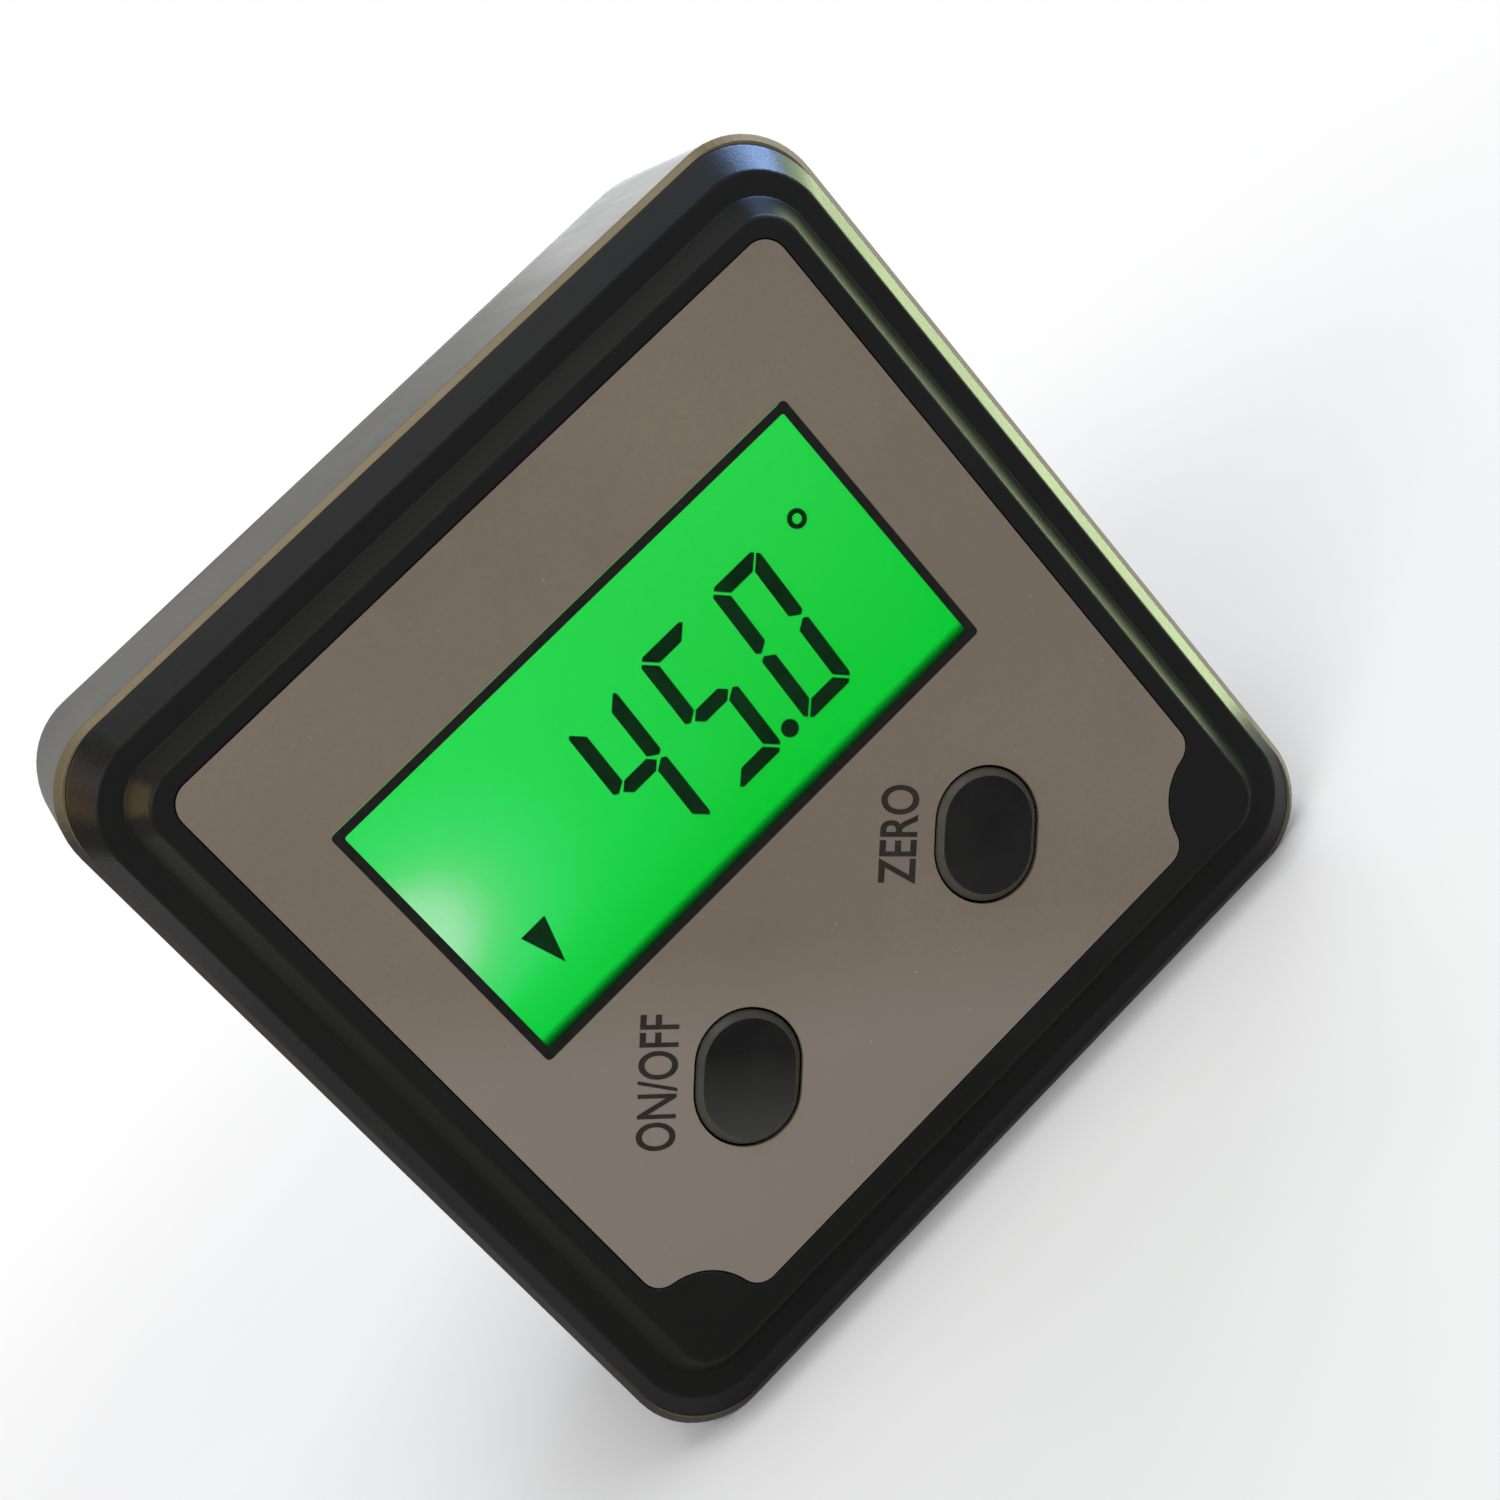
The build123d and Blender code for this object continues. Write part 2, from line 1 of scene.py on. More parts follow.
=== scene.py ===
# %% [markdown]
# # Digital angle gauge
# A pocket gauge that reads the tilt of whatever its magnetic base stands on.
# A square metal frame is clamped between a black moulded front and a black rear cover.
# The solid model arrives as a fixed frame. This lesson gives every piece its finish,
# prints the lettering, lights the display and sets the camera.

# %% Load the solid model
import math

import bmesh
import bpy
from mathutils import Matrix, Vector


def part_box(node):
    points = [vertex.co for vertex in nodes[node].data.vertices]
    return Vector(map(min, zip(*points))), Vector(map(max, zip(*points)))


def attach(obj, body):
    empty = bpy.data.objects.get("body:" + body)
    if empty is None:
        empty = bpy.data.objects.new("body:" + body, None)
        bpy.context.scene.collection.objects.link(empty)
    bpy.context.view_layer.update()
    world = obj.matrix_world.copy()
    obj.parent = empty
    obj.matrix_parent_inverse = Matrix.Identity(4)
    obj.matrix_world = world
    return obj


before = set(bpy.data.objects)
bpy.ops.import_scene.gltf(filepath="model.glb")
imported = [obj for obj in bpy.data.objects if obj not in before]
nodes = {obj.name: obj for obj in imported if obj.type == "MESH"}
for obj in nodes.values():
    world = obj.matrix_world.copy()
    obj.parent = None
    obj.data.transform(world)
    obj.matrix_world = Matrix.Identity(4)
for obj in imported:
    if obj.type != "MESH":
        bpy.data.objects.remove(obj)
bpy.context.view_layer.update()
print("pieces in the model:", len(nodes))

# %% [markdown]
# ## Where things are
# All pieces share one frame in metres. The face of the label gives the plane that the printing
# lies on, and its middle is the point that every printed mark is measured from.

# %% Places read from the model
MM = 0.001
MICRON = 0.000001
label_low, label_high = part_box("face_label")
label_middle = (label_low + label_high) / 2
FACE_Y = label_low.y
print("label face at", round(FACE_Y / MM, 2), "mm")
print("label middle at height", round(label_middle.z / MM, 2), "mm")

# %% [markdown]
# ## The camera
# The gauge was seen from a little to its left and above, close to, with the camera turned by
# about 45 degrees, so the square face stands on one corner in the picture. Its three axes are
# written out as rows, because a roll that large is easier to state than to aim.

# %% Camera
CAMERA_FROM_LABEL = Vector((-21.5, -132.0, 40.8)) * MM
CAMERA_RIGHT = Vector((0.6993, -0.3177, -0.6404))
CAMERA_DOWN = Vector((-0.7008, -0.1275, -0.7019))
CAMERA_FORWARD = Vector((0.1414, 0.9396, -0.3118))
LENS_MM = 61.24
SHIFT_UP = 0.0733

camera_data = bpy.data.cameras.new("camera")
camera_data.lens = LENS_MM
camera_data.sensor_width = 36.0
camera_data.shift_y = SHIFT_UP
camera_data.clip_start = 0.01
camera_data.clip_end = 20.0
camera = bpy.data.objects.new("camera", camera_data)
bpy.context.scene.collection.objects.link(camera)
turn = Matrix((CAMERA_RIGHT, -CAMERA_DOWN, -CAMERA_FORWARD)).transposed().to_4x4()
camera.matrix_world = Matrix.Translation(label_middle + CAMERA_FROM_LABEL) @ turn
bpy.context.scene.camera = camera
bpy.context.scene.view_settings.view_transform = "Standard"
print("camera", round(CAMERA_FROM_LABEL.length / MM), "mm from the label")

# %% [markdown]
# ## Small tools for node materials
# A finish is a shader graph. These helpers add a node, join two sockets and turn a colour that
# was read off the object on the usual 0 to 255 scale into the linear numbers a shader works in.

# %% Helpers for shader graphs
def linear(red, green, blue):
    """Linear colour with alpha from 0 to 255 values."""
    def one(value):
        value = value / 255
        return value / 12.92 if value <= 0.04045 else ((value + 0.055) / 1.055) ** 2.4
    return (one(red), one(green), one(blue), 1.0)


NOISE_LOW, NOISE_HIGH = 0.3, 0.7
WEAR_START, WEAR_FULL = 0.02, 0.25


class Graph:
    """A new material with short calls for adding and joining its nodes."""

    def __init__(self, name):
        self.material = bpy.data.materials.new(name)
        self.material.use_nodes = True
        self.tree = self.material.node_tree
        self.shader = self.tree.nodes["Principled BSDF"]
        self.place = self.add("ShaderNodeTexCoord").outputs["Object"]

    def add(self, kind, **settings):
        node = self.tree.nodes.new(kind)
        for key, value in settings.items():
            setattr(node, key, value)
        return node

    def join(self, source, target):
        self.tree.links.new(source, target)

    def put(self, value, target):
        """Join a socket, or set a plain value."""
        if isinstance(value, bpy.types.NodeSocket):
            self.join(value, target)
        else:
            target.default_value = value

    def maths(self, operation, first, second=0.0, third=0.0):
        node = self.add("ShaderNodeMath", operation=operation)
        for socket, value in zip(node.inputs, (first, second, third)):
            self.put(value, socket)
        return node.outputs[0]

    def noise(self, scale, detail=3.0, stretch=None, roughness=0.55):
        """Noise of a given scale per metre, stretched along an axis where there is a grain."""
        place = self.place
        if stretch:
            mapping = self.add("ShaderNodeMapping")
            mapping.inputs["Scale"].default_value = stretch
            self.join(place, mapping.inputs["Vector"])
            place = mapping.outputs["Vector"]
        node = self.add("ShaderNodeTexNoise")
        self.join(place, node.inputs["Vector"])
        node.inputs["Scale"].default_value = scale
        node.inputs["Detail"].default_value = detail
        node.inputs["Roughness"].default_value = roughness
        return node.outputs["Fac"]

    def spread(self, value, low_in, high_in, low_out, high_out):
        """Map one range of values onto another, held at its ends."""
        node = self.add("ShaderNodeMapRange")
        self.put(value, node.inputs["Value"])
        for name, number in (("From Min", low_in), ("From Max", high_in),
                             ("To Min", low_out), ("To Max", high_out)):
            node.inputs[name].default_value = number
        return node.outputs["Result"]

    def vary(self, noise, low, high):
        """Spread the middle of a noise, where nearly all of it lies, over a range."""
        return self.spread(noise, NOISE_LOW, NOISE_HIGH, low, high)

    def blend(self, share, first, second):
        """Mix two colours."""
        node = self.add("ShaderNodeMix", data_type="RGBA")
        self.put(share, node.inputs["Factor"])
        self.put(first, node.inputs["A"])
        self.put(second, node.inputs["B"])
        return node.outputs["Result"]

    def bump(self, height, depth, strength=1.0, under=None):
        """Small relief, with its depth in metres."""
        node = self.add("ShaderNodeBump")
        node.inputs["Strength"].default_value = strength
        node.inputs["Distance"].default_value = depth
        self.join(height, node.inputs["Height"])
        if under:
            self.join(under, node.inputs["Normal"])
        return node.outputs["Normal"]

    def softened(self, radius):
        """The surface direction with its sharp edges rounded by a radius."""
        node = self.add("ShaderNodeBevel", samples=6)
        node.inputs["Radius"].default_value = radius
        return node.outputs["Normal"]

    def part_of(self, vector, axis):
        """One of the three parts of a vector: X, Y or Z."""
        split = self.add("ShaderNodeSeparateXYZ")
        self.join(vector, split.inputs[0])
        return split.outputs[axis]

    def facing_ends(self):
        """One on faces turned to the front or back, chamfers too, and nought on the sides."""
        toward = self.part_of(self.add("ShaderNodeNewGeometry").outputs["True Normal"], "Y")
        return self.spread(self.maths("ABSOLUTE", toward), 0.3, 0.5, 0, 1)

    def leaning(self):
        """One on bevels and slopes that lean from the depth axis, and nought on square faces."""
        toward = self.part_of(self.add("ShaderNodeNewGeometry").outputs["True Normal"], "Y")
        flat = self.spread(self.maths("ABSOLUTE", toward), 0.9, 0.97, 1, 0)
        return self.maths("MULTIPLY", self.facing_ends(), flat)

    def edge_wear(self, rounded):
        """One along the edges, where the rounded direction leaves the true one."""
        true = self.add("ShaderNodeNewGeometry").outputs["Normal"]
        node = self.add("ShaderNodeVectorMath", operation="DOT_PRODUCT")
        self.join(rounded, node.inputs[0])
        self.join(true, node.inputs[1])
        bend = self.maths("SUBTRACT", 1.0, node.outputs["Value"])
        return self.spread(bend, WEAR_START, WEAR_FULL, 0.0, 1.0)

    def fix(self, socket, value):
        """Set a value that is the same all over on the shader's own socket."""
        self.shader.inputs[socket].default_value = value


def wear(material, *names):
    """Give a finish to the nodes of the solid model with these names."""
    for name in names:
        data = nodes[name].data
        data.materials.clear()
        data.materials.append(material)
    print(material.name, "on", ", ".join(names))

# %% [markdown]
# ## Black moulded plastic
# The front and the rear cover are moulded plastic with a fine spark-eroded texture.
# It is nearly black and barely shiny, so the steps show only where they catch the light.
# A fine noise makes the texture, a broad one gives the slight cloudiness of handled plastic,
# and the edges are a little paler where hands have polished them. The slope of the inner step
# is duller than the rest of the front. It is found by its depth and by the lean of its faces,
# so the piece keeps one material and the solid stays as it is.

# %% Moulded plastic
PLASTIC_EDGE = 0.12 * MM
LEDGE_DEPTH = 1.5 * MM
PLASTIC_SHINE = 0.1
STEP_SHINE = 0.042


def moulded_plastic(name, colour, grain_depth, roughness):
    """Black plastic. The graph comes back, so that a piece can add to it."""
    g = Graph(name)
    rounded = g.softened(PLASTIC_EDGE)
    cloud = g.noise(90, 4)
    grain = g.noise(5200, 2)
    worn = tuple(min(1.0, 2.1 * c + 0.004) for c in colour[:3]) + (1.0,)
    dull = tuple(0.72 * c for c in colour[:3]) + (1.0,)
    base = g.blend(g.vary(cloud, 0, 1), dull, colour)
    base = g.blend(g.maths("MULTIPLY", g.edge_wear(rounded), 0.5), base, worn)
    g.join(base, g.shader.inputs["Base Color"])
    rough = g.maths("ADD", g.vary(cloud, roughness - 0.05, roughness + 0.06),
                    g.vary(grain, -0.03, 0.03))
    g.join(rough, g.shader.inputs["Roughness"])
    g.fix("Specular IOR Level", PLASTIC_SHINE)
    g.join(g.bump(grain, grain_depth, 0.6, rounded), g.shader.inputs["Normal"])
    return g


def front_plastic():
    """The slope of the inner step, proud of the ledge, is duller and a little paler."""
    g = moulded_plastic("front_moulding", linear(20, 20, 19), 12 * MICRON, 0.32)
    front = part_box("front_bezel")[0].y
    depth = g.part_of(g.place, "Y")
    proud = g.spread(depth, front + 0.9 * LEDGE_DEPTH, front + 0.98 * LEDGE_DEPTH, 1, 0)
    plain = g.shader.inputs["Base Color"].links[0].from_socket
    slope = g.maths("MULTIPLY", proud, g.leaning())
    g.join(g.blend(slope, plain, linear(28, 28, 26)), g.shader.inputs["Base Color"])
    g.join(g.spread(slope, 0, 1, PLASTIC_SHINE, STEP_SHINE), g.shader.inputs["Specular IOR Level"])
    return g.material


wear(front_plastic(), "front_bezel")
rear_moulding = moulded_plastic("rear_moulding", linear(26, 26, 25), 20 * MICRON, 0.44)
door_moulding = moulded_plastic("door_moulding", linear(25, 25, 24), 20 * MICRON, 0.42)
wear(rear_moulding.material, "rear_cover")
wear(door_moulding.material, "battery_door")

# %% [markdown]
# ## Printed label
# The label is a plastic film printed a warm grey on its back, bonded into a recess of the front.
# The colour is even, with a faint cloud and fine grain from the print, and some dust on it.
# It is a little paler toward its lower left corner, so a second tone is blended in there by
# the place on the label.

# %% Label film
LABEL_SHINE = 0.3
PALE_TILT = 0.8
PALE_START = 10 * MM
PALE_FULL = 18 * MM


def label_film():
    g = Graph("label_film")
    cloud = g.noise(55, 3)
    grain = g.noise(3800, 2)
    dust = g.noise(2400, 1, roughness=0.3)
    base = g.blend(g.vary(cloud, 0, 1), linear(110, 98, 85), linear(120, 108, 94))
    base = g.blend(g.spread(grain, 0.25, 0.75, 0, 0.3), base, linear(99, 89, 78))
    # the label is made paler toward its lower left corner, by its place
    reach = g.maths("MULTIPLY_ADD", g.part_of(g.place, "X"), PALE_TILT, g.part_of(g.place, "Z"))
    middle = label_middle.z + PALE_TILT * label_middle.x
    variation = g.spread(reach, middle - PALE_FULL, middle - PALE_START, 0.85, 0)
    base = g.blend(variation, base, linear(127, 118, 108))
    base = g.blend(g.spread(dust, 0.80, 0.84, 0, 0.25), base, linear(168, 160, 146))
    g.join(base, g.shader.inputs["Base Color"])
    g.join(g.vary(cloud, 0.42, 0.56), g.shader.inputs["Roughness"])
    g.fix("Specular IOR Level", LABEL_SHINE)
    g.join(g.bump(grain, 6 * MICRON, 0.5), g.shader.inputs["Normal"])
    return g.material


wear(label_film(), "face_label")

# %% [markdown]
# ## Metal frame
# The frame is a length of square aluminium tube, blasted and clear anodised, so it is a soft grey
# with the faint lines of extrusion running from front to back. A noise stretched along Y draws
# those lines. The chamfered ends and the narrow end faces are told from the sides by the way
# they face, and light and shade are painted on them by that way: a lit warm tone above, with a
# painted highlight at the right, and painted shade, dark, at the left and below.

# %% Anodised aluminium
METAL_EDGE = 0.18 * MM
SIDE_TINT = (0.36, 0.36, 0.36, 1.0)
CHAMFER_TINT = (0.95, 0.92, 0.9, 1.0)


def anodised_frame():
    g = Graph("anodised_frame")
    rounded = g.softened(METAL_EDGE)
    lines = g.noise(900, 3, stretch=(1.0, 0.05, 1.0))
    cloud = g.noise(60, 4)
    blast = g.noise(7000, 2)
    base = g.blend(g.vary(cloud, 0, 1), linear(118, 117, 114), linear(131, 130, 126))
    base = g.blend(g.spread(lines, 0.35, 0.7, 0, 0.25), base, linear(112, 111, 108))
    chamfer = g.facing_ends()
    # painted light and shade on the chamfers: a lit warm tone above, a painted highlight at the
    # right, painted shade at the left and below
    direction = g.add("ShaderNodeNewGeometry").outputs["True Normal"]
    sideways = g.maths("MULTIPLY", g.part_of(direction, "X"), 0.6)
    painted_lit_share = g.spread(g.maths("ADD", g.part_of(direction, "Z"), sideways), -0.3, 0.1, 0, 1)
    right = g.spread(sideways, 0.08, 0.28, 0, 1)
    warm = g.blend(right, linear(90, 79, 53), linear(150, 143, 122))
    base = g.blend(chamfer, base, g.blend(painted_lit_share, linear(32, 30, 26), warm))
    g.join(base, g.shader.inputs["Base Color"])
    g.join(g.spread(chamfer, 0, 1, 1.0, 0.3), g.shader.inputs["Metallic"])
    g.join(g.blend(chamfer, SIDE_TINT, CHAMFER_TINT), g.shader.inputs["Specular Tint"])
    rough = g.maths("ADD", g.vary(cloud, 0.36, 0.44), g.vary(lines, -0.02, 0.03))
    g.join(rough, g.shader.inputs["Roughness"])
    lined = g.bump(lines, 4 * MICRON, 0.3, rounded)
    g.join(g.bump(blast, 6 * MICRON, 0.4, lined), g.shader.inputs["Normal"])
    return g.material


wear(anodised_frame(), "housing_frame")

# %% [markdown]
# ## Keys
# Both keys are glossy black plastic, with fine scratches and a trace of skin oil that blurs the
# shine in patches. The bevel round each cap is worn to a dull grey. A painted reflection makes
# each cap paler toward its low end.

# %% Glossy key caps
KEY_SHINE = 0.1
KEY_EDGE = 0.15 * MM
REFLECTION_FROM_LOW = 2.5 * MM
REFLECTION_FROM_HIGH = 6.5 * MM


# film sets the strength of a painted reflection at the low end of the cap
def key_cap(name, node, film, bevel):
    """Black cap. A painted reflection, a paler grey, is strongest at its low end and fades along
    its length.
    """
    g = Graph(name)
    rounded = g.softened(KEY_EDGE)
    smear = g.noise(420, 4)
    scratch = g.noise(2600, 3, stretch=(1.0, 1.0, 0.08))
    low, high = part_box(node)
    along = g.maths("ADD", g.part_of(g.place, "X"), g.part_of(g.place, "Z"))
    start, end = low.x + low.z + REFLECTION_FROM_LOW, high.x + high.z - REFLECTION_FROM_HIGH
    # painted reflection: the cap is painted paler toward its low end
    painted_reflection = g.spread(along, start, end, film, 0.0)
    base = g.blend(g.spread(smear, 0.35, 0.65, 0, 1), linear(14, 14, 14), linear(22, 22, 21))
    base = g.blend(painted_reflection, base, linear(66, 66, 63))
    base = g.blend(g.maths("MULTIPLY", g.leaning(), bevel), base, linear(74, 71, 64))
    g.join(base, g.shader.inputs["Base Color"])
    g.join(g.maths("ADD", g.vary(smear, 0.16, 0.3), g.spread(scratch, 0.5, 0.8, 0, 0.12)),
           g.shader.inputs["Roughness"])
    g.fix("Specular IOR Level", KEY_SHINE)
    g.join(g.bump(scratch, 4 * MICRON, 0.4, rounded), g.shader.inputs["Normal"])
    return g.material


wear(key_cap("on_off_cap", "on_off_button", 0.8, 0.7), "on_off_button")
wear(key_cap("zero_cap", "zero_button", 0.1, 0.85), "zero_button")

# %% [markdown]
# ## The display
# Light from a green lamp at the left enters a clear plate behind the glass and spreads out.
# It is brightest, almost white, beside the lamp, and the figures are dark because the liquid
# crystal blocks it there. The diffusing film behind the glass is what glows, so the light is
# an emission on that film, its colour set by the distance from the lamp.

# %% Clear pane and clear films
PANE_IOR = 1.05
FILM_SHINE = 0.1


def clear_pane():
    g = Graph("clear_pane")
    smear = g.noise(160, 3)
    g.fix("Base Color", (1.0, 1.0, 1.0, 1.0))
    g.fix("Transmission Weight", 1.0)
    g.fix("IOR", PANE_IOR)
    g.join(g.spread(smear, 0.4, 0.7, 0.0, 0.05), g.shader.inputs["Roughness"])
    return g.material


def clear_film(name, colour, cover, roughness=0.15):
    """Thin clear sheet: mostly see-through, with a little tint and a fine unevenness."""
    g = Graph(name)
    variation = g.noise(300, 3)
    deeper = tuple(0.8 * c for c in colour[:3]) + (1.0,)
    base = g.blend(g.spread(variation, 0.35, 0.65, 0, 1), colour, deeper)
    g.join(base, g.shader.inputs["Base Color"])
    g.join(g.vary(variation, roughness, roughness + 0.08), g.shader.inputs["Roughness"])
    g.fix("Specular IOR Level", FILM_SHINE)
    g.fix("Alpha", cover)
    return g.material


wear(clear_pane(), "display_window")
wear(clear_film("polarizing_film", linear(40, 70, 46), 0.03), "front_polarizer")
wear(clear_film("display_glass", linear(60, 110, 78), 0.015), "lcd_front_glass", "lcd_rear_glass")

# %% The glowing film
LAMP_FROM_LABEL = Vector((-19.4, 0.0, 6.2)) * MM
GLOW_SQUEEZE = 1.55
GLOW_STRENGTH = 1.1
GLOW_REACH = 40 * MM
HIGH_SHARE = 0.45
HIGH_FROM, HIGH_TO = -9 * MM, 7 * MM
DIM_EDGE = 0.95 * MM
DIM_POWER = 2.4
DEEP_BAND = 4.5 * MM
DEEP_SHARE = 0.18


def glowing_film():
    g = Graph("glowing_film")
    offset = g.add("ShaderNodeVectorMath", operation="SUBTRACT")
    g.join(g.place, offset.inputs[0])
    lamp = label_middle + LAMP_FROM_LABEL
    offset.inputs[1].default_value = (lamp.x, 0, lamp.z)
    flat = g.add("ShaderNodeVectorMath", operation="MULTIPLY")
    g.join(offset.outputs[0], flat.inputs[0])
    flat.inputs[1].default_value = (1, 0, GLOW_SQUEEZE)
    length = g.add("ShaderNodeVectorMath", operation="LENGTH")
    g.join(flat.outputs[0], length.inputs[0])
    ramp = g.add("ShaderNodeValToRGB")
    ramp.color_ramp.interpolation = "CARDINAL"
    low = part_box("rear_polarizer")[0]
    height = g.part_of(g.place, "Z")
    deeper = g.spread(height, low.z, low.z + DEEP_BAND, DEEP_SHARE, 0)
    away = g.spread(length.outputs["Value"], 0, GLOW_REACH, 0, 1)
    g.join(g.maths("ADD", away, deeper), ramp.inputs["Fac"])
    stops = ramp.color_ramp.elements
    stops[0].position, stops[0].color = 0.06, linear(180, 236, 192)
    stops[1].position, stops[1].color = 0.60, linear(4, 198, 48)
    for place, colour in ((0.10, (168, 230, 182)), (0.125, (142, 223, 160)),
                          (0.155, (104, 219, 128)), (0.19, (75, 216, 110)),
                          (0.235, (51, 214, 97)), (0.32, (22, 209, 72))):
        stop = stops.new(place)
        stop.color = linear(*colour)
    higher = g.spread(g.part_of(offset.outputs[0], "Z"), HIGH_FROM, HIGH_TO, 0, HIGH_SHARE)
    glow = g.blend(higher, ramp.outputs["Color"], linear(58, 224, 96))
    speckle = g.blend(g.vary(g.noise(2600, 2), 0, 0.06), glow, linear(20, 150, 50))
    g.join(speckle, g.shader.inputs["Emission Color"])
    lit = g.spread(height, low.z, low.z + DIM_EDGE, 0.0, 1.0)
    dimmed = g.maths("POWER", lit, DIM_POWER)
    g.join(g.maths("MULTIPLY", dimmed, GLOW_STRENGTH), g.shader.inputs["Emission Strength"])
    g.fix("Base Color", linear(4, 18, 8))
    g.fix("Roughness", 0.8)
    g.fix("Specular IOR Level", 0.0)
    return g.material


wear(glowing_film(), "rear_polarizer")

# %% [markdown]
# The figures are flat wafers in the thin gap between the two glasses. They are not quite black,
# because a little of the green leaks through them.

# %% Dark figures
def display_figure():
    g = Graph("display_figure")
    base = g.blend(g.vary(g.noise(1800, 3), 0, 1), linear(6, 30, 12), linear(10, 44, 18))
    g.join(base, g.shader.inputs["Base Color"])
    g.join(g.vary(g.noise(700, 2), 0.5, 0.7), g.shader.inputs["Roughness"])
    g.fix("Specular IOR Level", 0.0)
    return g.material


wear(display_figure(), "display_segments")

# %% [markdown]
# ## Finishes of the inner and rear pieces
# The board, its parts, the cell and the screws show only when the battery door is open or from
# behind. They share one small recipe: two close colours in a noise pattern, a roughness that
# follows it and a fine relief.

# %% Plain finish recipe
PLAIN_RELIEF = 6 * MICRON
PLAIN_EDGE = 0.08 * MM


def plain_finish(name, colour, other, roughness, scale=400, metal=0.0, stretch=None):
    g = Graph(name)
    pattern = g.noise(scale, 3, stretch=stretch)
    g.join(g.blend(g.vary(pattern, 0, 1), linear(*colour), linear(*other)),
           g.shader.inputs["Base Color"])
    g.join(g.vary(pattern, max(0.05, roughness - 0.08), roughness + 0.08),
           g.shader.inputs["Roughness"])
    g.fix("Metallic", metal)
    relief = g.bump(g.noise(scale * 6, 2), PLAIN_RELIEF, 0.5, g.softened(PLAIN_EDGE))
    g.join(relief, g.shader.inputs["Normal"])
    return g.material


wear(plain_finish("seal_adhesive", (150, 152, 140), (135, 138, 126), 0.6), "lcd_seal")
wear(plain_finish("light_guide_acrylic", (150, 230, 165), (130, 220, 150), 0.2), "light_guide")
wear(plain_finish("white_film", (238, 238, 233), (226, 227, 222), 0.5), "reflector_film")
wear(plain_finish("lamp_resin", (205, 245, 200), (190, 235, 188), 0.3), "backlight_lamp")
wear(plain_finish("striped_rubber", (196, 140, 134), (120, 84, 80), 0.6, 900, stretch=(6, 1, 0.05)),
     "contact_strip")
wear(plain_finish("board_mask", (22, 84, 48), (28, 98, 58), 0.35, 700), "main_board")
wear(plain_finish("chip_moulding", (36, 36, 37), (44, 44, 45), 0.55), "sensor_chip")
wear(plain_finish("poured_resin", (20, 20, 20), (28, 28, 28), 0.2, 200), "controller_chip")
wear(plain_finish("crystal_can", (176, 175, 170), (196, 195, 190), 0.28, 900, 1.0),
     "board_crystal")
wear(plain_finish("fired_ceramic", (150, 116, 78), (134, 102, 68), 0.55), "board_capacitors")
wear(plain_finish("switch_moulding", (44, 44, 46), (54, 54, 56), 0.5), "key_switches")
wear(plain_finish("plunger_moulding", (222, 220, 212), (210, 208, 200), 0.45),
     "on_off_plunger", "zero_plunger")
wear(plain_finish("zinc_screw", (182, 182, 176), (160, 162, 158), 0.32, 1200, 1.0), "board_screws")
wear(plain_finish("blackened_screw", (50, 50, 52), (70, 70, 70), 0.35, 1500, 0.9), "cover_screws")
wear(plain_finish("nickel_magnet", (188, 186, 178), (204, 201, 192), 0.16, 500, 1.0),
     "base_magnets")
wear(plain_finish("contact_nickel", (200, 198, 190), (184, 182, 174), 0.25, 1500, 1.0,
                  stretch=(1, 1, 0.1)),
     "positive_contact", "negative_contact")

# %% [markdown]
# ## The cell
# The cell is a steel can in a printed wrap: dark grey with a pale band at the positive end.
# Both ends are bare metal. Position along the cell tells the shader which is which.

# %% Cell wrap
BAND_LENGTH = 12.5 * MM
RULE_LENGTH = 0.8 * MM
BARE_TOP, BARE_END = 1.5 * MM, 0.5 * MM
CROSS_FROM_TOP = 6.5 * MM
CROSS_REACH, CROSS_HALF = 1.9 * MM, 0.4 * MM


def cell_wrap():
    g = Graph("cell_wrap")
    low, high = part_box("battery_cell")
    middle = (low + high) / 2
    along = g.part_of(g.place, "X")

    def both(first, second):
        return g.maths("MULTIPLY", first, second)

    def either(first, second):
        return g.maths("MAXIMUM", first, second)

    def above(value, limit):
        return g.maths("GREATER_THAN", value, limit)

    def below(value, limit):
        return g.maths("LESS_THAN", value, limit)

    band_start = high.x - BAND_LENGTH
    band = above(along, band_start)
    rule = both(above(along, band_start - RULE_LENGTH), below(along, band_start))
    bare = either(above(along, high.x - BARE_TOP), below(along, low.x + BARE_END))
    across = g.maths("ABSOLUTE", g.maths("SUBTRACT", g.part_of(g.place, "Z"), middle.z))
    beside = g.maths("ABSOLUTE", g.maths("SUBTRACT", along, high.x - CROSS_FROM_TOP))
    cross = either(both(below(across, CROSS_REACH), below(beside, CROSS_HALF)),
                   both(below(across, CROSS_HALF), below(beside, CROSS_REACH)))
    wrap = g.blend(g.vary(g.noise(300, 3), 0, 1), linear(52, 56, 62), linear(60, 64, 70))
    wrap = g.blend(band, wrap, linear(176, 178, 176))
    wrap = g.blend(rule, wrap, linear(226, 226, 220))
    wrap = g.blend(cross, wrap, linear(30, 32, 36))
    g.join(g.blend(bare, wrap, linear(200, 198, 192)), g.shader.inputs["Base Color"])
    g.join(bare, g.shader.inputs["Metallic"])
    g.join(g.vary(g.noise(900, 3), 0.22, 0.36), g.shader.inputs["Roughness"])
    g.join(g.bump(g.noise(2600, 2), 5 * MICRON, 0.4), g.shader.inputs["Normal"])
    return g.material


wear(cell_wrap(), "battery_cell")

# %% [markdown]
# ## Printing on the label
# The words beside the keys lean at 45 degrees, as the keys do. Each word starts as a text curve,
# becomes a mesh a few hundredths of a millimetre thick, and is scaled so that its capitals and
# its length are those of the print. A thin mesh keeps crisp edges where a painted map would not.

# %% Ink
INK_SHINE = 0.1


